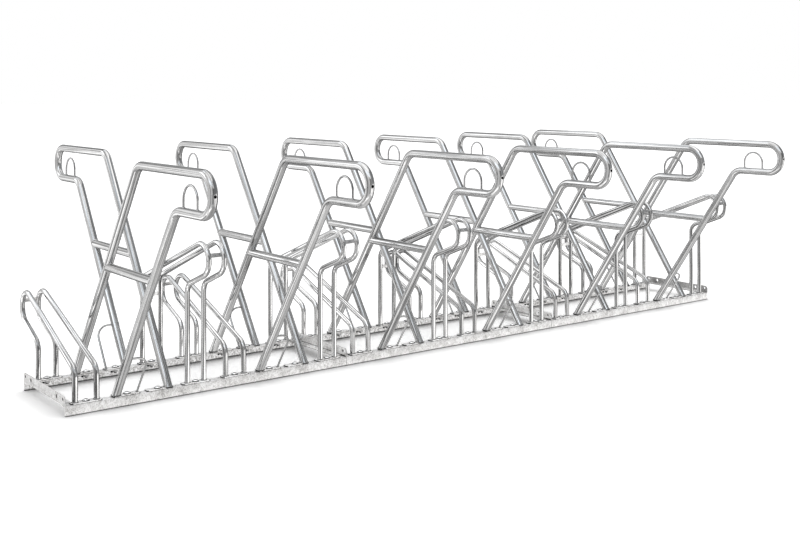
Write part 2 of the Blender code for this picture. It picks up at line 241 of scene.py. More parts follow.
# Derived sizes
MODULE = BAYS * BAY - JOINT_GAP
STRAP_UNDER = ANGLE_LEG + SEAT
STRAP_MIDDLE = STRAP_UNDER + STRAP_WALL / 2
STRAP_TOP = STRAP_UNDER + STRAP_WALL
HOOP_STRAP_OUT = BAY / 2 - HOOP_ROW - STRAP_APART / 2
HOOP_LOW = HOOP_TOP - HOOK_DROP
NEAR_FOOT = -ANGLE_LEG / 2
FAR_FOOT = ANGLE_LEG / 2 - WIDTH
FEET = (NEAR_FOOT, FAR_FOOT)
LEG_AHEAD = Vector((0, sin(HOOP_LEAN), cos(HOOP_LEAN)))
LEG_ACROSS = Vector((0, cos(HOOP_LEAN), -sin(HOOP_LEAN)))
ALONG_ROW = Vector((1, 0, 0))
ACROSS_ROW = Vector((0, 1, 0))
UP = Vector((0, 0, 1))
HALF_TURN = Matrix.Rotation(pi, 4, "Z")


# Finishes


class Value:
    """A socket of a finish, on which sums are written as plain expressions."""

    def __init__(self, socket):
        self.socket = socket

    def _sum(self, operation, first, second):
        made = self.socket.id_data.nodes.new("ShaderNodeMath")
        made.operation = operation
        connect(made.inputs[0], first)
        connect(made.inputs[1], second)
        return Value(made.outputs[0])

    def __add__(self, other):
        return self._sum("ADD", self, other)

    def __sub__(self, other):
        return self._sum("SUBTRACT", self, other)

    def __rsub__(self, other):
        return self._sum("SUBTRACT", other, self)

    def __mul__(self, other):
        return self._sum("MULTIPLY", self, other)

    __radd__ = __add__
    __rmul__ = __mul__


def connect(socket, given):
    """Links a value to a socket, or sets the socket to a plain number or vector."""
    if isinstance(given, Value):
        socket.id_data.links.new(given.socket, socket)
    else:
        socket.default_value = given


class Finish:
    """A procedural surface, built from the nodes that its recipe adds."""

    def __init__(self, name):
        self.material = bpy.data.materials.new(name)
        self.material.use_nodes = True
        self.tree = self.material.node_tree
        self.shader = self.tree.nodes["Principled BSDF"]

    def node(self, kind, settings, inputs, output=0):
        """Adds a node: its settings come first, then the values of its sockets."""
        made = self.tree.nodes.new(kind)
        for name, setting in settings.items():
            if name == "stops":
                for stop in range(len(setting) - 2):
                    made.color_ramp.elements.new(0.5)
                for element, (position, colour) in zip(made.color_ramp.elements, setting):
                    element.position = position
                    element.color = (*colour, 1)
            else:
                setattr(made, name, setting)
        for name, given in inputs.items():
            connect(made.inputs[name], given)
        return Value(made.outputs[output])

    def place(self):
        """Where on the row, in metres."""
        return self.node("ShaderNodeTexCoord", {}, {}, "Object")

    def run(self):
        """Length along the tube, and the two directions across it."""
        return self.node("ShaderNodeAttribute", {"attribute_name": "run"}, {}, "Vector")

    def part(self, vector, axis):
        """One of a vector's three numbers."""
        return self.node("ShaderNodeSeparateXYZ", {}, {0: vector}, axis)

    def stretched(self, where, factors):
        """A vector or colour, each of its parts times that of another."""
        return self.node("ShaderNodeVectorMath", {"operation": "MULTIPLY"}, {0: where, 1: factors})

    def noise(self, where, scale, detail=3.0, rough=0.55):
        """Soft noise from 0 to 1, with about this many lumps to the metre."""
        inputs = {"Vector": where, "Scale": scale, "Detail": detail, "Roughness": rough}
        return self.node("ShaderNodeTexNoise", {}, inputs, "Fac")

    def ramp(self, factor, stops):
        """Colours by a factor."""
        return self.node("ShaderNodeValToRGB", {"stops": stops}, {"Fac": factor}, "Color")

    def greys(self, distance, reach, stops):
        """Levels of grey by a distance up to a reach, all in metres."""
        shades = [(at / reach, grey(level)) for at, level in stops]
        return self.ramp(distance * (1 / reach), shades)

    def bump(self, height, distance, strength):
        """Relief from a height of 0 to 1, this many metres deep."""
        inputs = {"Height": height, "Distance": distance, "Strength": strength}
        return self.node("ShaderNodeBump", {}, inputs, "Normal")

    def wear(self, surface):
        """Sets sockets of the shader and gives the material back."""
        for name, given in surface.items():
            connect(self.shader.inputs[name], given)
        return self.material


def grey(level, warmth=0.0):
    """A neutral zinc colour, a little warmer where the warmth is above zero."""
    return (level * (1 + warmth), level, level * (1 - warmth))


def tube_zinc(name, level, fine, depth):
    """Galvanised tube or rod: runs along it, this many to the metre round it and this deep in
    tone, soft clouds, and a smooth semi-bright skin."""
    finish = Finish(name)
    where = finish.place()
    run = finish.run()
    streaks = finish.noise(finish.stretched(run, (1.6, fine, fine)), 1.0, 2.0, 0.6)
    lines = finish.noise(finish.stretched(run, (6.0, 2 * fine, 2 * fine)), 1.0, 1.0)
    clouds = finish.noise(where, 28.0, 3.0)
    grain = finish.noise(where, 600.0, 2.0)
    tone = streaks * 0.55 + lines * 0.25 + clouds * 0.05 + grain * 0.15
    stops = [(0.415, 0.48 - 0.25 * depth), (0.5, 0.48), (0.585, 0.48 + 0.3 * depth)]
    colour = finish.ramp(tone, [(place, grey(shade * level, 0.002)) for place, shade in stops])
    height = streaks * 0.7 + lines * 0.3 + clouds * 0.3
    return finish.wear(
        {
            "Base Color": colour,
            "Metallic": 1.0,
            "Roughness": 0.03 + clouds * 0.05 + grain * 0.05,
            "Normal": finish.bump(height, 0.00026, 0.6),
        }
    )


def plate_skin(finish, colour, metal, tone, grain):
    """The dull, faintly lumpy skin that all plates and angles share."""
    return finish.wear(
        {
            "Base Color": colour,
            "Metallic": metal,
            "Roughness": 0.3 + grain * 0.24,
            "Normal": finish.bump(tone, 0.0005, 0.7),
        }
    )


def plate_zinc(name, level, metal=0.6, dark=0.46, foot=None, tall=0.0):
    """Galvanised angle or flat bar: pale, mottled down to a share of its level, with a painted
    shade line of some height above its foot where it stands on something."""
    finish = Finish(name)
    where = finish.place()
    clouds = finish.noise(where, 22.0, 2.0, 0.5)
    mottle = finish.noise(where, 110.0, 3.0, 0.65)
    grain = finish.noise(where, 260.0, 3.0, 0.65)
    tone = clouds * 0.25 + mottle * 0.35 + grain * 0.4
    stops = [
        (place, grey((dark + (1 - dark) * share) * level, warmth))
        for place, share, warmth in (
            (0.4, 0.0, 0.02), (0.46, 0.44, 0.015), (0.51, 0.63, 0.01), (0.58, 1.0, 0.004)
        )
    ]
    colour = finish.ramp(tone, stops)
    # painted shade along the foot
    if foot is not None:
        up = finish.part(where, "Z") - foot
        line = finish.greys(up, 2 * tall, [(0.48 * tall, 0.06), (tall, 1.0)])
        colour = finish.stretched(colour, line)
    return plate_skin(finish, colour, metal, tone, grain)


def inner_zinc():
    """Inner side of a rail: like its face, with painted shade along its foot and in the corner
    behind each foot bolt.
    """
    finish = Finish("inner_zinc")
    where = finish.place()
    mottle = finish.noise(where, 110.0, 3.0, 0.65)
    grain = finish.noise(where, 260.0, 3.0, 0.65)
    tone = mottle * 0.45 + grain * 0.55
    stops = [(0.4, grey(0.3, 0.02)), (0.46, grey(0.51, 0.015))]
    stops += [(0.51, grey(0.67)), (0.58, grey(0.96))]
    along = finish.part(where, "X") + NUT_SHADE_ASIDE
    up = finish.part(where, "Z")
    bay = finish.node("ShaderNodeMath", {"operation": "PINGPONG"}, {0: along, 1: BAY / 2})
    # a painted shade line along the foot of the standing flange
    line = finish.greys(up, 0.0125, [(0.002875, 0.06), (0.00575, 1.0)])
    colour = finish.stretched(finish.ramp(tone, stops), line)
    # a painted shade spot in the corner behind each foot nut
    for bolt in (HOLDER_ROW, HOOP_ROW + HOOP_BOLT_IN):
        aside = bay - bolt
        above = up - NUT_SHADE_UP
        away = (aside * aside + above * above) * (1 / NUT_SHADE_SIZE**2)
        shade = finish.ramp(away, [(0.16, grey(0.01)), (0.3, grey(1.0))])
        colour = finish.stretched(colour, shade)
    return plate_skin(finish, colour, 0.6, tone, grain)


def weld_zinc():
    """Zinc over a weld: thick, dull and a little uneven, with a painted shade line along the
    strap.
    """
    finish = Finish("weld_zinc")
    where = finish.place()
    lumps = finish.noise(where, 320.0, 3.0)
    clouds = finish.noise(where, 60.0, 2.0)
    zinc = finish.ramp(lumps * 0.6 + clouds * 0.4, [(0.38, grey(0.3)), (0.62, grey(0.85, 0.01))])
    # a painted shade line just above the strap
    up = finish.part(where, "Z") - STRAP_TOP
    line = finish.greys(up, 0.01, [(0.0012, 0.08), (0.0017, 1.0)])
    return finish.wear(
        {
            "Base Color": finish.stretched(zinc, line),
            "Metallic": 1.0,
            "Roughness": 0.26 + lumps * 0.16,
            "Normal": finish.bump(lumps, 0.0003, 0.6),
        }
    )


def bolt_zinc():
    """Galvanised fasteners: bright above the strap, with a painted shade line round the foot
    bolts' heads, a band of painted shade on their crowns, and nuts below darkened by painted
    shade."""
    finish = Finish("bolt_zinc")
    where = finish.place()
    pits = finish.noise(where, 1100.0, 3.0)
    clouds = finish.noise(where, 130.0, 2.0)
    zinc = finish.ramp(pits * 0.5 + clouds * 0.5, [(0.35, grey(0.8)), (0.65, grey(0.98))])
    # greys by height: painted shade on the nuts, round the heads' rims and on their crowns
    nut = [(0.027, 0.26), (0.03, 0.07)]
    rim = [(0.0366, 0.07), (0.03725, 1.0)]
    crown = [(0.0391, 1.0), (0.0398, 0.4), (0.04075, 0.4)]
    coupling = [(0.041, 0.9)]
    above = finish.greys(finish.part(where, "Z"), 0.05, nut + rim + crown + coupling)
    return finish.wear(
        {
            "Base Color": finish.stretched(zinc, above),
            "Metallic": 1.0,
            "Roughness": 0.12 + clouds * 0.14,
            "Normal": finish.bump(pits, 0.00008, 0.6),
        }
    )


def painted_deep_shade():
    """Painted deep shade where no light reaches: in holes, in the rails' joints and behind nuts.
    """
    finish = Finish("painted_deep_shade")
    shade_speckle = finish.noise(finish.place(), 300.0, 2.0)
    colour = finish.ramp(shade_speckle, [(0.3, grey(0.006)), (0.7, grey(0.016))])
    return finish.wear(
        {
            "Base Color": colour,
            "Roughness": 0.8 + shade_speckle * 0.1,
            "Normal": finish.bump(shade_speckle, 0.0002, 0.5),
        }
    )


# Workshop


def rounded(corners, radii):
    """Points and directions of a middle line whose inner corners are bent to the radii."""
    line = [(corners[0], (corners[1] - corners[0]).normalized())]
    for before, corner, after, radius in zip(corners, corners[1:], corners[2:], radii):
        back = (before - corner).normalized()
        ahead = (after - corner).normalized()
        half = back.angle(ahead) / 2
        start = corner + back * (radius / tan(half))
        centre = corner + (back + ahead).normalized() * (radius / sin(half))
        axis = ahead.cross(back).normalized()
        steps = ceil((pi - 2 * half) / BEND_STEP)
        for k in range(steps + 1):
            turn = Matrix.Rotation((pi - 2 * half) * k / steps, 3, axis)
            point = centre + turn @ (start - centre)
            if (point - line[-1][0]).length > SEAT:
                line.append((point, turn @ -back))
    return [*line, (corners[-1], (corners[-1] - corners[-2]).normalized())]


def drawn(line, across, side, sides, ripple=None):
    """A closed round bar along a line of points and directions. The side is square to all of
    them, or None where the line has its own third entry for it. A weld's radius ripples."""
    bm = bmesh.new()
    runs = bm.verts.layers.float_vector.new("run")
    gone = 0.0
    before = None
    edges = []
    for k, (point, ahead, *own) in enumerate(line):
        edge = own[0] if own else side
        grown = across / 2 * (ripple[k] if ripple else 1.0)
        frame = Matrix((edge, ahead.cross(edge), ahead)).transposed().to_4x4()
        station = Matrix.Translation(point) @ frame @ Matrix.Diagonal((grown, grown, grown, 1))
        if before is None:
            made = bmesh.ops.create_circle(bm, segments=sides, radius=1.0, matrix=station)
            ring = made["verts"]
            edges = list(bm.edges)
        else:
            gone += (point - line[k - 1][0]).length
            pulled = bmesh.ops.extrude_edge_only(bm, edges=edges)["geom"]
            ring = [g for g in pulled if isinstance(g, bmesh.types.BMVert)]
            edges = [g for g in pulled if isinstance(g, bmesh.types.BMEdge) and g.is_boundary]
            bmesh.ops.transform(bm, matrix=station @ before.inverted(), verts=ring)
        to_ring = station.inverted()
        for vert in ring:
            local = to_ring @ vert.co
            vert[runs] = (gone, local.x * across / 2, local.y * across / 2)
        before = station
    if (line[0][0] - line[-1][0]).length < SEAT:
        bmesh.ops.remove_doubles(bm, verts=bm.verts, dist=SEAT / 10)
    else:
        bmesh.ops.holes_fill(bm, edges=[e for e in bm.edges if e.is_boundary])
    bmesh.ops.recalc_face_normals(bm, faces=bm.faces)
    return bm


def weld(points, outward, radius):
    """A rippled weld round a closed run of points, with a direction away from the seam at each."""
    count = len(points)
    line = []
    for k in range(count + 1):
        ahead = (points[(k + 1) % count] - points[(k - 1) % count]).normalized()
        edge = outward[k % count]
        edge = (edge - ahead * edge.dot(ahead)).normalized()
        line.append((points[k % count], ahead, edge))
    ripple = [1 + RIPPLE_DEEP * cos(2 * pi * k / RIPPLE_STEPS) for k in range(count + 1)]
    return drawn(line, 2 * radius, None, WELD_SIDES, ripple)


def ripple_turns(length):
    """Even turns round a seam of about this length, a few to each ripple."""
    count = max(4, round(length / RIPPLE)) * RIPPLE_STEPS
    return [2 * pi * k / count for k in range(count)]


def bevelled(bm, edges, radius, segments):
    """Rounds these edges."""
    bmesh.ops.bevel(
        bm, geom=edges, offset=radius, segments=segments, profile=0.5, affect="EDGES",
        material=-1, clamp_overlap=True,
    )
    return bm


def chamfered(bm, edge):
    """Breaks every edge that turns sharply."""
    bmesh.ops.dissolve_limit(bm, angle_limit=FLAT_WITHIN, verts=bm.verts, edges=bm.edges)
    sharp = [e for e in bm.edges if e.is_manifold and e.calc_face_angle() > EDGE_FROM]
    return bevelled(bm, sharp, edge, EDGE_STEPS)


def block(low, high):
    """A squared block between two corners."""
    bm = bmesh.new()
    size = Vector(high) - Vector(low)
    fitted = Matrix.Translation((Vector(low) + Vector(high)) / 2) @ Matrix.Diagonal((*size, 1))
    bmesh.ops.create_cube(bm, size=1, matrix=fitted)
    return bm


def rod(start, end, across, sides):
    """A plain round or hexagonal bar between two points."""
    bm = bmesh.new()
    lie = (end - start).to_track_quat("Z", "Y").to_matrix().to_4x4()
    middle = Matrix.Translation((start + end) / 2) @ lie
    bmesh.ops.create_cone(
        bm, cap_ends=True, segments=sides, radius1=across / 2, radius2=across / 2,
        depth=(end - start).length, matrix=middle,
    )
    return bm


def lathed(profile, sides):
    """A turned solid from (radius, height) points, round Z."""
    bm = bmesh.new()
    verts = [bm.verts.new((radius, 0, height)) for radius, height in profile]
    edges = [bm.edges.new(pair) for pair in zip(verts, verts[1:])]
    bmesh.ops.spin(
        bm, geom=verts + edges, cent=(0, 0, 0), axis=UP, dvec=(0, 0, 0),
        angle=2 * pi, steps=sides, use_merge=True, use_duplicate=False,
    )
    bmesh.ops.remove_doubles(bm, verts=bm.verts, dist=SEAT / 100)
    bmesh.ops.recalc_face_normals(bm, faces=bm.faces)
    return bm


def meshed(name, bm):
    """The mesh of a part whose shape is done."""
    mesh = bpy.data.meshes.new(name)
    bm.to_mesh(mesh)
    bm.free()
    return mesh


def placed(name, data):
    """A new object in the scene."""
    made = bpy.data.objects.new(name, data)
    bpy.context.scene.collection.objects.link(made)
    return made


def on_bench(bm):
    """An object for the time of a cut."""
    return placed("bench", meshed("bench", bm))


def cut(base, operation, tools):
    """The base after each tool has cut or trimmed it."""
    work = on_bench(base)
    benches = [on_bench(tool) for tool in tools]
    for bench in benches:
        step = work.modifiers.new("cut", "BOOLEAN")
        step.operation = operation
        step.solver = "EXACT"
        step.object = bench
    graph = bpy.context.evaluated_depsgraph_get()
    graph.update()
    bm = bmesh.new()
    bm.from_mesh(work.evaluated_get(graph).data)
    for used in [work, *benches]:
        data = used.data
        bpy.data.objects.remove(used)
        bpy.data.meshes.remove(data)
    return bm


def moved(bm, matrix):
    """The same part, put somewhere else."""
    bmesh.ops.transform(bm, matrix=matrix, verts=bm.verts)
    return bm


def assembled(name, parts, finishes):
    """One mesh from parts, each with the number of its finish. Faces that a part has given a
    higher number keep it."""
    whole = bmesh.new()
    whole.verts.layers.float_vector.new("run")
    for bm, finish in parts:
        for face in bm.faces:
            face.material_index = max(finish, face.material_index)
            face.smooth = True
        part = meshed(name, bm)
        whole.from_mesh(part)
        bpy.data.meshes.remove(part)
    mesh = meshed(name, whole)
    for finish in finishes:
        mesh.materials.append(finish)
    mesh.set_sharp_from_angle(angle=SHARP_FROM)
    return mesh


def stand(name, pattern, matrix, node=None, shift=0.0):
    """Puts a copy of a made piece in its place on the row. The shift moves its streaks."""
    mesh = pattern.copy()
    mesh.name = name
    mesh.transform(matrix)
    for entry in mesh.attributes["run"].data:
        entry.vector.x += shift
    piece = placed(name, mesh)
    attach(piece, "root")
    if node:
        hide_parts(node)


# Rails and cross angles


def angle_bar(length):
    """Rolled angle along X: outer faces at Y 0 and at the top, toes and root rounded."""
    bm = bmesh.new()
    leg, wall = ANGLE_LEG, ANGLE_WALL
    section = [(0, 0), (wall, 0), (wall, leg - wall), (leg, leg - wall), (leg, leg), (0, leg)]
    face = bm.faces.new([bm.verts.new((-length / 2, y, z)) for y, z in section])
    pulled = bmesh.ops.extrude_face_region(bm, geom=[face])["geom"]
    ends = [g for g in pulled if isinstance(g, bmesh.types.BMVert)]
    bmesh.ops.translate(bm, verts=ends, vec=(length, 0, 0))
    bmesh.ops.recalc_face_normals(bm, faces=bm.faces)
    shapes = (
        (wall, leg - wall, ANGLE_ROOT, 5),
        (wall, 0, ANGLE_TOE, 3),
        (leg, leg - wall, ANGLE_TOE, 3),
        (0, leg, ANGLE_HEEL, 2),
    )
    for y, z, radius, steps in shapes:
        corner = Vector((y, z))
        at = [e for e in bm.edges if all((v.co.yz - corner).length < SEAT for v in e.verts)]
        bevelled(bm, at, radius, steps)
    return bm


def rail(finishes, joints):
    """A rail along X, with its outer face at Y 0 and its flange towards +Y. Its ends wear painted
    deep shade at the joints with its neighbours, on these sides."""
    bar = angle_bar(MODULE - RAIL_SHORT)
    for face in bar.faces:
        if face.normal.y > 0.9 and face.calc_center_median().y < ANGLE_LEG / 2:
            face.material_index = INNER
        elif any(face.normal.x * side > 0.9 for side in joints):
            face.material_index = UNLIT
        # tops wear zinc painted paler, as lit from above
        elif face.normal.z > 0.9:
            face.material_index = TOP
    return assembled("rail", [(bar, FACE)], finishes)


def cross_angle(finishes):
    """A cross angle over both rails, its back at X 0 and its lower flange towards +X."""
    half = WIDTH / 2
    top = STRAP_UNDER + ANGLE_LEG
    flip = Matrix.Rotation(pi, 4, "X") @ Matrix.Rotation(-pi / 2, 4, "Z")
    bar = moved(angle_bar(WIDTH + OVERRUN), Matrix.Translation((0, 0, top)) @ flip)
    blank = block((-OVERRUN, -half, STRAP_UNDER - OVERRUN), (ANGLE_LEG + OVERRUN, half, top))
    corners = []
    for edge in blank.edges:
        one, other = (v.co for v in edge.verts)
        if min(one.z, other.z) > top - SEAT and abs(one.y - other.y) < SEAT:
            corners.append(edge)
    bevelled(blank, corners, END_CORNER, 10)
    drills = []
    copes = []
    for side in (-1, 1):
        for y, z, across in (
            (COUPLING_SPREAD / 2, COUPLING_UP, COUPLING_HOLE),
            (half - DRAIN_IN, DRAIN_UP, DRAIN_HOLE),
        ):
            hole = Vector((0, side * y, STRAP_UNDER + z))
            reach = ALONG_ROW * (OVERRUN / 2)
            drills.append(rod(hole - reach, hole + reach, across, DRILL_SIDES))
        ends = sorted((side * (half - ANGLE_LEG - SEAT), side * (half + OVERRUN)))
        low = (ANGLE_WALL, ends[0], STRAP_UNDER - OVERRUN)
        copes.append(block(low, (ANGLE_LEG + OVERRUN, ends[1], top)))
    shaped = cut(cut(bar, "INTERSECT", [blank]), "DIFFERENCE", drills + copes)
    bar = chamfered(shaped, ANGLE_EDGE)
    for face in bar.faces:
        middle = face.calc_center_median()
        level = middle.z - STRAP_UNDER
        if face.normal.x > 0.5 and middle.x < ANGLE_LEG / 2:
            face.material_index = INNER
        # the lower flange's top wears zinc painted paler as lit, its toe painted shade
        elif face.normal.z > 0.7 and middle.x > ANGLE_WALL:
            face.material_index = TOP
        elif face.normal.x > 0.5 and middle.x > ANGLE_LEG / 2:
            face.material_index = TOE
        # hole walls wear painted deep shade
        elif abs(face.normal.x) < 0.1 and HOLES_FROM < level < HOLES_TO:
            if abs(middle.y) < half - HOLES_IN:
                face.material_index = UNLIT
    return assembled("cross_angle", [(bar, FACE)], finishes)


# Fasteners


def hexagon(flats, low, high):
    """A bolt head or nut round Z, its corners turned off at both ends."""
    corner = flats / cos(radians(30)) / 2
    face = flats * HEX_FACE
    chamfer = (corner - face) * tan(radians(30))
    profile = [(0, low), (face, low), (corner, low + chamfer)]
    profile += [(corner, high - chamfer), (face, high), (0, high)]
    turned = lathed(profile, HEX_TURNED_SIDES)
    prism = rod(Vector((0, 0, low - SEAT)), Vector((0, 0, high + SEAT)), 2 * corner, 6)
    return cut(prism, "INTERSECT", [turned])


def thread(across, low, high):
    """The end of a bolt, its crests and roots as rings, with a turned point."""
    steps = max(4, 2 * round((high - low) / THREAD_PITCH))
    heights = [low + (high - low) * k / steps for k in range(steps + 1)]
    line = [(Vector((0, 0, z)), UP) for z in heights]
    deep = 2 * THREAD_DEEP / across
    grown = [1 - deep * (k % 2) for k in range(steps)] + [1 - 2 * deep]
    return drawn(line, across, ALONG_ROW, THREAD_SIDES, grown)


def washer(across, low, high):
    """A washer round Z, its edges broken."""
    half = across / 2
    flat = half - WASHER_EDGE
    profile = [(0, low), (flat, low), (half, low + WASHER_EDGE)]
    profile += [(half, high - WASHER_EDGE), (flat, high), (0, high)]
    return lathed(profile, TURNED_SIDES)


def coupling_bolt(finishes):
    """A hexagon bolt along X through two flanges that meet at X 0."""
    face = JOINT_GAP / 2 + ANGLE_WALL + SEAT
    seat = face + WASHER_WALL
    nut = seat + COUPLING_NUT
    parts = [
        washer(COUPLING_WASHER, -seat, -face),
        washer(COUPLING_WASHER, face, seat),
        hexagon(COUPLING_HEX, -seat - COUPLING_HEAD, -seat),
        hexagon(COUPLING_HEX, seat, nut),
        thread(COUPLING_BOLT, -seat, nut + COUPLING_END),
    ]
    lie = Matrix.Rotation(pi / 2, 4, "Y")
    return assembled("coupling_bolt", [(moved(part, lie), BOLT) for part in parts], finishes)


def foot_bolt(y):
    """Parts of a mushroom-headed bolt round Z, for a place at Y, through a strap and the rail's
    flange. The side of its nut towards the standing flange wears painted deep shade."""
    half = FOOT_HEAD / 2
    rise = FOOT_HEAD_TALL - FOOT_HEAD_RIM
    crown = (half * half + rise * rise) / (2 * rise)
    centre = STRAP_TOP + FOOT_HEAD_TALL - crown
    rim = STRAP_TOP + FOOT_HEAD_RIM - FOOT_HEAD_EDGE
    profile = [(0, STRAP_TOP), (half, STRAP_TOP), (half, rim)]
    for k in range(DOME_STEPS + 1):
        radius = (half - FOOT_HEAD_EDGE) * (1 - k / DOME_STEPS)
        profile.append((radius, centre + sqrt(crown * crown - radius * radius)))
    low = ANGLE_LEG - ANGLE_WALL
    nut = moved(hexagon(FOOT_NUT_HEX, low - FOOT_NUT, low), Matrix.Rotation(radians(30), 4, "Z"))
    outward = 1 if y > -WIDTH / 2 else -1
    # the nut's side towards the standing flange wears painted deep shade
    for face in nut.faces:
        if face.normal.y * outward > 0.2:
            face.material_index = NUT_BACK
    shank = thread(FOOT_BOLT, low - FOOT_NUT - FOOT_END, STRAP_TOP)
    return [lathed(profile, TURNED_SIDES), nut, shank]


def foot_bolts(name, x, finishes):
    """The bolts of one piece's two straps, both at the same X."""
    parts = []
    for y in FEET:
        place = Matrix.Translation((x, y, 0))
        parts += [(moved(part, place), BOLT) for part in foot_bolt(y)]
    return assembled(name, parts, finishes)


# Hoops, with Y outwards from the rail's outer face


def leg_point(foot, up, x=0.0):
    """A point on a leaning leg's middle line at a height."""
    return Vector((x, foot - HOOP_BACK + (up - STRAP_TOP) * tan(HOOP_LEAN), up))


def feet_cut(bm):
    """Saws the feet level inside the straps."""
    geom = bm.verts[:] + bm.edges[:] + bm.faces[:]
    bmesh.ops.bisect_plane(
        bm, geom=geom, dist=0.000001, plane_co=(0, 0, STRAP_MIDDLE), plane_no=UP, clear_inner=True
    )
    bmesh.ops.holes_fill(bm, edges=[e for e in bm.edges if e.is_boundary])
    return bm


def hoop_tube():
    """The bent tube: short leg, lower bar, hook, top bar and long leg, with the drain hole, whose
    bore wears painted deep shade.
    """
    bend = HOOK_DROP / 2
    base = STRAP_UNDER - OVERRUN
    corners = [
        leg_point(NEAR_FOOT, base),
        leg_point(NEAR_FOOT, HOOP_LOW),
        Vector((0, HOOP_REACH, HOOP_LOW)),
        Vector((0, HOOP_REACH, HOOP_TOP)),
        leg_point(FAR_FOOT, HOOP_TOP),
        leg_point(FAR_FOOT, base),
    ]
    bar = feet_cut(drawn(rounded(corners, [bend] * 4), HOOP_TUBE, ALONG_ROW, TUBE_SIDES))
    up = HOOP_TOP - HOOK_DROP / 2
    skin = HOOP_REACH + HOOP_TUBE / 2
    bottom = Vector((0, skin - HOOP_TUBE * 0.4, up))
    drill = rod(bottom, Vector((0, skin + OVERRUN, up)), HOOK_HOLE, HOOK_DRILL_SIDES)
    bar = cut(bar, "DIFFERENCE", [drill])
    # the drilled bore wears painted deep shade
    for face in bar.faces:
        middle = face.calc_center_median()
        drilled = Vector((middle.x, middle.z - up)).length < HOOK_HOLE * 0.51
        if drilled and middle.y > HOOP_REACH and face.normal.y > -0.5:
            if face.normal.y < 0.9 or middle.y < skin - HOOP_TUBE * 0.3:
                face.material_index = BORE
    return bar


def cross_bar():
    """The level bar between the two legs."""
    line = [(leg_point(foot, CROSS_BAR_UP), -ACROSS_ROW) for foot in FEET]
    return drawn(line, HOOP_TUBE, ALONG_ROW, TUBE_SIDES)


def hook_eye_middle():
    """Y of the middle of the upright eye."""
    corner = leg_point(NEAR_FOOT, HOOP_LOW).y
    return (corner + HOOP_REACH - HOOK_DROP / 2) / 2 + HOOK_EYE_SHIFT


def hook_eye():
    """The upright locking eye on the lower bar."""
    half = HOOK_EYE_WIDE / 2
    middle = hook_eye_middle()
    top = HOOP_LOW + HOOK_EYE_TALL
    near, far = middle - half, middle + half
    shape = [(near, HOOP_LOW), (near, top), (far, top), (far, HOOP_LOW)]
    line = rounded([Vector((0, y, z)) for y, z in shape], [half, half])
    return drawn(line, EYE_ROD, ALONG_ROW, ROD_SIDES)


def foot_eye_corner():
    """The corner of the foot eye, in the short leg's leaning plane."""
    up = STRAP_TOP + FOOT_EYE_ALONG * cos(HOOP_LEAN)
    return leg_point(NEAR_FOOT, up, FOOT_EYE_EDGE - HOOP_STRAP_OUT)


def foot_eye():
    """The locking eye beside the short leg."""
    corner = foot_eye_corner()
    start = Vector((0, corner.y, corner.z))
    end = leg_point(NEAR_FOOT, STRAP_UNDER - OVERRUN, corner.x)
    line = rounded([start, corner, end], [-corner.x - FOOT_EYE_FLAT])
    return feet_cut(drawn(line, EYE_ROD, LEG_ACROSS, ROD_SIDES))


def strap(left, right, foot):
    """A foot strap between two X positions, over the rail whose middle is at foot."""
    half = ANGLE_LEG / 2 - STRAP_INSET
    bar = block((left, foot - half, STRAP_UNDER), (right, foot + half, STRAP_TOP))
    corners = [e for e in bar.edges if abs(e.verts[0].co.z - e.verts[1].co.z) > SEAT]
    bar = chamfered(bevelled(bar, corners, STRAP_CORNER, 5), STRAP_EDGE)
    # the strap's end faces wear painted shade
    for face in bar.faces:
        if abs(face.normal.x) > 0.12 and abs(face.normal.z) < 0.9:
            face.material_index = PLATE_END
    return bar


def foot_weld(centre, radius, lean, size):
    """A weld round a foot on its strap, where the foot leans by an angle."""
    turns = ripple_turns(2 * pi * radius)
    flat = [Vector((radius * cos(a), radius * sin(a) / cos(lean), 0)) for a in turns]
    return weld([centre + p for p in flat], [p.normalized() for p in flat], size)


def bar_weld(foot, side):
    """The saddle weld where the cross bar meets a leg, on that side of the leg."""
    radius = HOOP_TUBE / 2
    middle = leg_point(foot, CROSS_BAR_UP)
    points = []
    outward = []
    for a in ripple_turns(2.6 * pi * radius):
        shift = radius * sin(a) * tan(HOOP_LEAN) + side * radius * abs(sin(a)) / cos(HOOP_LEAN)
        away = Vector((cos(a), 0, sin(a)))
        points.append(middle + away * radius + Vector((0, shift, 0)))
        outward.append(away)
    return weld(points, outward, BAR_WELD)


def rod_weld(centre, across, ahead):
    """A small weld where an eye's rod meets a hoop's tube, whose axis is ahead."""
    skin = HOOP_TUBE / 2
    points = []
    outward = []
    away = across.cross(ahead)
    for a in ripple_turns(2 * pi * EYE_ROD / 2):
        aside = EYE_ROD / 2 * sin(a)
        flat = ahead * (EYE_ROD / 2 * cos(a)) + across * aside
        points.append(centre + flat + away * sqrt(skin * skin - aside * aside))
        outward.append(flat.normalized())
    return weld(points, outward, ROD_WELD)


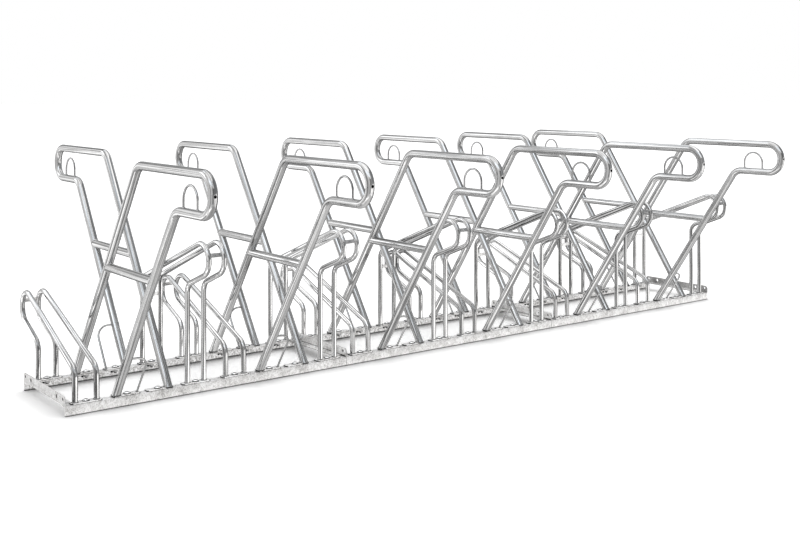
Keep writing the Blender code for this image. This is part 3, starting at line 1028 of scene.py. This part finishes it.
def hoop(finishes):
    """A whole welded hoop."""
    skin = HOOP_TUBE / 2
    eye = hook_eye_middle()
    corner = foot_eye_corner()
    rod_foot = leg_point(NEAR_FOOT, STRAP_TOP, corner.x)
    parts = [(hoop_tube(), TUBE), (cross_bar(), TUBE), (hook_eye(), EYE), (foot_eye(), EYE)]
    parts += [(strap(-HOOP_STRAP_OUT, skin + STRAP_PAST_HOOP, foot), PLATE) for foot in FEET]
    welds = [foot_weld(leg_point(foot, STRAP_TOP), skin, HOOP_LEAN, LEG_WELD) for foot in FEET]
    welds += [bar_weld(NEAR_FOOT, -1), bar_weld(FAR_FOOT, 1)]
    for y in (eye - HOOK_EYE_WIDE / 2, eye + HOOK_EYE_WIDE / 2):
        welds.append(rod_weld(Vector((0, y, HOOP_LOW)), ALONG_ROW, ACROSS_ROW))
    welds.append(rod_weld(Vector((0, corner.y, corner.z)), LEG_ACROSS, LEG_AHEAD))
    welds.append(foot_weld(rod_foot, EYE_ROD / 2, HOOP_LEAN, ROD_WELD))
    return assembled("hoop", parts + [(bead, BEAD) for bead in welds], finishes)


# Wheel holders, with Y outwards from the rail's outer face


def loop_side(y):
    """Distance of a loop from the holder's middle plane; the pair opens towards the back."""
    share = (NEAR_FOOT - y) / (NEAR_FOOT - FAR_FOOT)
    return (LOOP_MOUTH + (LOOP_BACK - LOOP_MOUTH) * share) / 2


def turn_centre(reach, up):
    """The middle of the mouth's radius, in the holder's middle plane."""
    return Vector((0, reach - LOOP_RADIUS, up))


def loop_tube(side, reach, up):
    """One bent loop: front leg, lower slant, turn at the mouth, upper slope and back leg."""
    along = Vector((0, cos(LOOP_SLOPE), sin(LOOP_SLOPE)))
    across = Vector((0, -sin(LOOP_SLOPE), cos(LOOP_SLOPE)))
    end = turn_centre(reach, up) + along * LOOP_RADIUS
    low = end - across * LOOP_RADIUS
    high = end + across * LOOP_RADIUS
    front = low - along * ((low.y - NEAR_FOOT) / along.y)
    back = high - along * ((high.y - FAR_FOOT) / along.y)
    base = STRAP_UNDER - OVERRUN
    corners = [Vector((0, NEAR_FOOT, base)), front, low, high, back, Vector((0, FAR_FOOT, base))]
    splayed = [Vector((side * loop_side(p.y), p.y, p.z)) for p in corners]
    line = rounded(splayed, [LOOP_BEND, LOOP_RADIUS, LOOP_RADIUS, LOOP_BEND])
    square = UP.cross(splayed[0] - splayed[-1]).normalized()
    return feet_cut(drawn(line, LOOP_TUBE, square, LOOP_SIDES))


def flat_bar(middle, lean):
    """A flat bar across the pair of loops, leaning back from upright."""
    corner = Vector((loop_side(middle.y), FLAT_WALL / 2, FLAT_TALL / 2))
    bar = block(-corner, corner)
    bevelled(bar, bar.edges[:], FLAT_EDGE, EDGE_STEPS)
    return moved(bar, Matrix.Translation(middle) @ Matrix.Rotation(lean, 4, "X"))


def flat_welds(middle, lean):
    """Welds round both ends of a flat bar."""
    wide = FLAT_WALL / 2
    tall = FLAT_TALL / 2
    turns = ripple_turns(2 * (FLAT_TALL + FLAT_WALL))
    place = Matrix.Translation(middle) @ Matrix.Rotation(lean, 4, "X")
    made = []
    for side in (-1, 1):
        points = []
        for a in turns:
            z = tall * sin(a)
            y = wide * max(-1, min(1, 3 * cos(a)))
            rise = min(abs(z), LOOP_TUBE / 3)
            x = side * (loop_side(middle.y) - sqrt((LOOP_TUBE / 2) ** 2 - rise**2))
            points.append(place @ Vector((x, y, z)))
        away = [(p - place @ Vector((p.x, 0, 0))).normalized() for p in points]
        made.append(weld(points, away, FLAT_WELD))
    return made


def wheel_holder(name, reach, up, plates, finishes):
    """A whole welded wheel holder: two loops, their flat bars and the straps. The leaning bar at
    the mouth is as dull as its welds."""
    out = Vector((0, cos(LOOP_SLOPE), sin(LOOP_SLOPE))) * LOOP_RADIUS
    bars = [(turn_centre(reach, up) + out, LOOP_SLOPE), *plates]
    half = (LOOP_BACK + LOOP_TUBE) / 2 + STRAP_PAST_LOOP
    parts = [(loop_tube(side, reach, up), TUBE) for side in (-1, 1)]
    parts += [(strap(-half, half, foot), PLATE) for foot in FEET]
    for middle, lean in bars:
        parts.append((flat_bar(middle, lean), BEAD if lean else PLATE))
        parts += [(bead, BEAD) for bead in flat_welds(middle, lean)]
    for side in (-1, 1):
        for foot in FEET:
            centre = Vector((side * loop_side(foot), foot, STRAP_TOP))
            parts.append((foot_weld(centre, LOOP_TUBE / 2, 0.0, LEG_WELD), BEAD))
    return assembled(name, parts, finishes)


# The row


def on_far_side(x):
    """The place of a piece that faces away from the camera's side of the row."""
    return Matrix.Translation((x, WIDTH / 2, 0))


def on_near_side(x):
    """The place of a piece that faces towards the camera's side of the row."""
    return Matrix.Translation((x, -WIDTH / 2, 0)) @ HALF_TURN


def stand_frame():
    """Rails, cross angles and coupling bolts."""
    angles = [RAIL_ZINC, INNER_ZINC, PAINTED_DEEP_SHADE, PAINTED_LIGHT_RAIL_TOP]
    bars = [rail(angles, joints) for joints in ([1], [-1, 1], [-1])]
    cross = cross_angle([CROSS_ZINC, CROSS_INNER_ZINC, PAINTED_DEEP_SHADE, PAINTED_LIGHT_CROSS_TOP, PAINTED_SHADE_TOE])
    # the row's right-end cross angle gets painted shade on its inner face
    last_cross = cross.copy()
    last_cross.materials[INNER] = PAINTED_SHADE_END_INNER
    bolt = coupling_bolt([BOLT_ZINC])
    for m in range(MODULES):
        middle = (m - (MODULES - 1) / 2) * BAYS * BAY
        end = MODULE / 2
        n = m + 1
        near = Matrix.Translation((middle, -WIDTH / 2, 0))
        far = on_far_side(middle) @ HALF_TURN
        stand(f"near_rail_bar_{n}", bars[m], near, f"near_rail_{n}")
        stand(f"far_rail_bar_{n}", bars[-n], far, f"far_rail_{n}")
        left = Matrix.Translation((middle - end, 0, 0))
        right = Matrix.Translation((middle + end, 0, 0)) @ HALF_TURN
        stand(f"left_cross_bar_{n}", cross, left, f"left_cross_angle_{n}")
        pattern = last_cross if n == MODULES else cross
        stand(f"right_cross_bar_{n}", pattern, right, f"right_cross_angle_{n}")
    for j in range(1, MODULES):
        joint = (j - MODULES / 2) * BAYS * BAY
        for side, name in ((-1, "near"), (1, "far")):
            axis = (joint, side * COUPLING_SPREAD / 2, STRAP_UNDER + COUPLING_UP)
            node = f"{name}_coupling_bolt_{j}"
            where = Matrix.Translation(axis)
            stand(f"{name}_hexagon_bolt_{j}", bolt, where, node)


def stand_bays():
    """Hoops, wheel holders and their foot bolts, bay by bay."""
    steel = [TUBE_ZINC, STRAP_ZINC, WELD_ZINC, PAINTED_SHADE_STRAP_END, EYE_ZINC, PAINTED_DEEP_SHADE]
    thin = [LOOP_ZINC, STRAP_ZINC, WELD_ZINC, PAINTED_SHADE_STRAP_END]
    plate = [(Vector((0, FAR_FOOT, BACK_PLATE_UP)), 0.0)]
    leaning = hoop(steel)
    high = wheel_holder("high_holder", HIGH_REACH, HIGH_UP, plate, thin)
    low = wheel_holder("low_holder", LOW_REACH, LOW_UP, [], thin)
    hoop_feet = foot_bolts("hoop_bolts", -HOOP_BOLT_IN, [BOLT_ZINC, PAINTED_DEEP_SHADE])
    holder_feet = foot_bolts("holder_bolts", 0, [BOLT_ZINC, PAINTED_DEEP_SHADE])
    for b in range(MODULES * BAYS):
        start = (b - MODULES * BAYS / 2) * BAY
        end = start + BAY
        n = b + 1
        places = (
            ("low_holder", low, holder_feet, on_far_side(start + HOLDER_ROW)),
            ("near_hoop", leaning, hoop_feet, on_near_side(start + HOOP_ROW)),
            ("far_hoop", leaning, hoop_feet, on_far_side(end - HOOP_ROW)),
            ("high_holder", high, holder_feet, on_near_side(end - HOLDER_ROW)),
        )
        for k, (name, pattern, feet, where) in enumerate(places):
            shift = STREAK_SHIFT * (len(places) * b + k)
            stand(f"{name}_tubes_{n}", pattern, where, f"{name}_{n}", shift)
            stand(f"{name}_foot_bolts_{n}", feet, where)


# Studio


def floor():
    """A plain white floor, paler to the camera, that keeps the object's shadows and has shade
    painted into its colour close to the steel, more in front of the near rail.
    """
    finish = Finish("studio_floor")
    where = finish.place()
    speck = finish.noise(where, 3.0, 2.0)
    white = finish.ramp(speck, [(0.3, grey(0.96)), (0.7, grey(0.97))])
    seen = finish.node("ShaderNodeLightPath", {}, {}, "Is Camera Ray")
    # painted shade from ambient occlusion, seen only by the camera
    reach = {"Distance": CONTACT_FAR}
    clear = finish.node("ShaderNodeAmbientOcclusion", {"samples": 12}, reach, "AO")
    back = finish.part(where, "Y") + WIDTH / 2
    ahead = finish.ramp(0.5 - back * 10.0, [(0.44, grey(0.0)), (0.5, grey(1.0))])
    shade = (1.0 - clear) * (ahead * CONTACT_AHEAD + CONTACT_SHADE)
    paler = 1.0 + seen * (FLOOR_LIFT - shade)
    colour = finish.stretched(white, paler)
    finish.wear({"Base Color": colour, "Roughness": 1.0, "Specular IOR Level": 0.0})
    bm = bmesh.new()
    bmesh.ops.create_grid(bm, x_segments=1, y_segments=1, size=FLOOR_SIZE)
    made = placed("floor", assembled("floor", [(bm, 0)], [finish.material]))
    made.visible_glossy = False


def panel(name, left, right, low, high, level, warmth):
    """A curved studio panel round the row, seen only in the gloss of the steel. It reaches from
    one bearing to another, clockwise from +Y, and from one elevation to another, in degrees."""
    material = bpy.data.materials.new(name)
    material.use_nodes = True
    tree = material.node_tree
    tree.nodes.clear()
    glow = tree.nodes.new("ShaderNodeEmission")
    glow.inputs["Color"].default_value = (*grey(1.0, warmth), 1)
    glow.inputs["Strength"].default_value = level
    out = tree.nodes.new("ShaderNodeOutputMaterial")
    tree.links.new(glow.outputs[0], out.inputs["Surface"])
    bm = bmesh.new()
    start = Matrix.Rotation(radians(-left), 3, "Z")
    rises = [radians(low + (high - low) * k / PANEL_STEPS) for k in range(PANEL_STEPS + 1)]
    verts = [bm.verts.new(start @ Vector((0, cos(rise), sin(rise))) * PANEL_FAR) for rise in rises]
    edges = [bm.edges.new(pair) for pair in zip(verts, verts[1:])]
    bmesh.ops.spin(
        bm, geom=verts + edges, cent=(0, 0, 0), axis=UP, dvec=(0, 0, 0),
        angle=radians(left - right), steps=2 * PANEL_STEPS, use_merge=False, use_duplicate=False,
    )
    mesh = meshed(name, bm)
    mesh.materials.append(material)
    made = placed(name, mesh)
    made.visible_camera = False
    made.visible_diffuse = False
    made.visible_shadow = False
    made.visible_transmission = False


def studio_world():
    """White where the camera and gloss see it, and an even sky for the light on the floor."""
    world = bpy.data.worlds.new("studio")
    world.use_nodes = True
    tree = world.node_tree
    tree.nodes.clear()
    path = tree.nodes.new("ShaderNodeLightPath")
    seen = Value(path.outputs["Is Camera Ray"]) + Value(path.outputs["Is Glossy Ray"])
    seen = seen + Value(path.outputs["Is Transmission Ray"])
    white = tree.nodes.new("ShaderNodeBackground")
    white.inputs["Strength"].default_value = 1.0
    sky = tree.nodes.new("ShaderNodeBackground")
    sky.inputs["Strength"].default_value = SKY
    for shade in (white, sky):
        shade.inputs["Color"].default_value = (1, 1, 1, 1)
    mix = tree.nodes.new("ShaderNodeMixShader")
    tree.links.new(seen.socket, mix.inputs[0])
    tree.links.new(sky.outputs[0], mix.inputs[1])
    tree.links.new(white.outputs[0], mix.inputs[2])
    out = tree.nodes.new("ShaderNodeOutputWorld")
    tree.links.new(mix.outputs[0], out.inputs["Surface"])
    bpy.context.scene.world = world


def lamp(name, bearing, rise, spread, power):
    """A soft lamp far away, at a bearing clockwise from +Y and an elevation, in degrees."""
    data = bpy.data.lights.new(name, "SUN")
    data.angle = radians(spread)
    data.energy = power
    made = placed(name, data)
    made.rotation_euler = (radians(90 - rise), 0, radians(180 - bearing))
    made.visible_glossy = False


def camera():
    """The photograph's view: level, with the frame shifted down."""
    data = bpy.data.cameras.new("camera")
    data.lens = LENS
    data.sensor_width = SENSOR
    data.shift_y = FRAME_SHIFT
    made = placed("camera", data)
    made.location = CAMERA_PLACE
    made.rotation_euler = (radians(90), 0, CAMERA_TURN)
    bpy.context.scene.camera = made


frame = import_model()

TUBE_ZINC = tube_zinc("tube_zinc", 1.0, 300.0, 1.05)
LOOP_ZINC = tube_zinc("loop_zinc", 1.05, 200.0, 1.5)
EYE_ZINC = tube_zinc("eye_zinc", 0.8, 280.0, 1.0)
# rails: a painted shade line along their feet on the floor
RAIL_ZINC = plate_zinc("rail_zinc", 0.985, metal=0.5, foot=0.0, tall=FOOT_SHADE_LINE)
# rail tops: zinc painted paler, as lit from above
PAINTED_LIGHT_RAIL_TOP = plate_zinc("painted_light_rail_top", 1.35, dark=0.22)
INNER_ZINC = inner_zinc()
# straps: a paler zinc, with a painted shade line where they lie on the rails
STRAP_ZINC = plate_zinc("strap_zinc", 1.4, dark=0.25, foot=STRAP_UNDER, tall=STRAP_SHADE_LINE)
# strap ends: near-black painted shade
PAINTED_SHADE_STRAP_END = plate_zinc("painted_shade_strap_end", 0.07)
CROSS_ZINC = plate_zinc("cross_zinc", 0.82)
# inner faces of the cross angles: a painted shade line at the root of the lower flange
CROSS_INNER_ZINC = plate_zinc(
    "cross_inner_zinc", 1.05, foot=STRAP_UNDER + ANGLE_WALL, tall=FOOT_SHADE_LINE
)
# top of the cross angles' lower flange: zinc painted paler, as lit from above
PAINTED_LIGHT_CROSS_TOP = plate_zinc("painted_light_cross_top", 1.3, metal=0.2, dark=0.15)
# toe of the cross angles' lower flange: zinc painted dark as shade
PAINTED_SHADE_TOE = plate_zinc("painted_shade_toe", 0.4)
# inner face of the right-end cross angle: zinc painted darker as shade
PAINTED_SHADE_END_INNER = plate_zinc("painted_shade_end_inner", 0.58)
WELD_ZINC = weld_zinc()
BOLT_ZINC = bolt_zinc()
PAINTED_DEEP_SHADE = painted_deep_shade()

stand_frame()
stand_bays()

floor()
studio_world()
camera()
lamp("right_lamp", 95, 42, 60, 0.6)
for panel_name, setting in PANELS.items():
    panel(panel_name, *setting)
bpy.context.scene.view_settings.view_transform = "Standard"
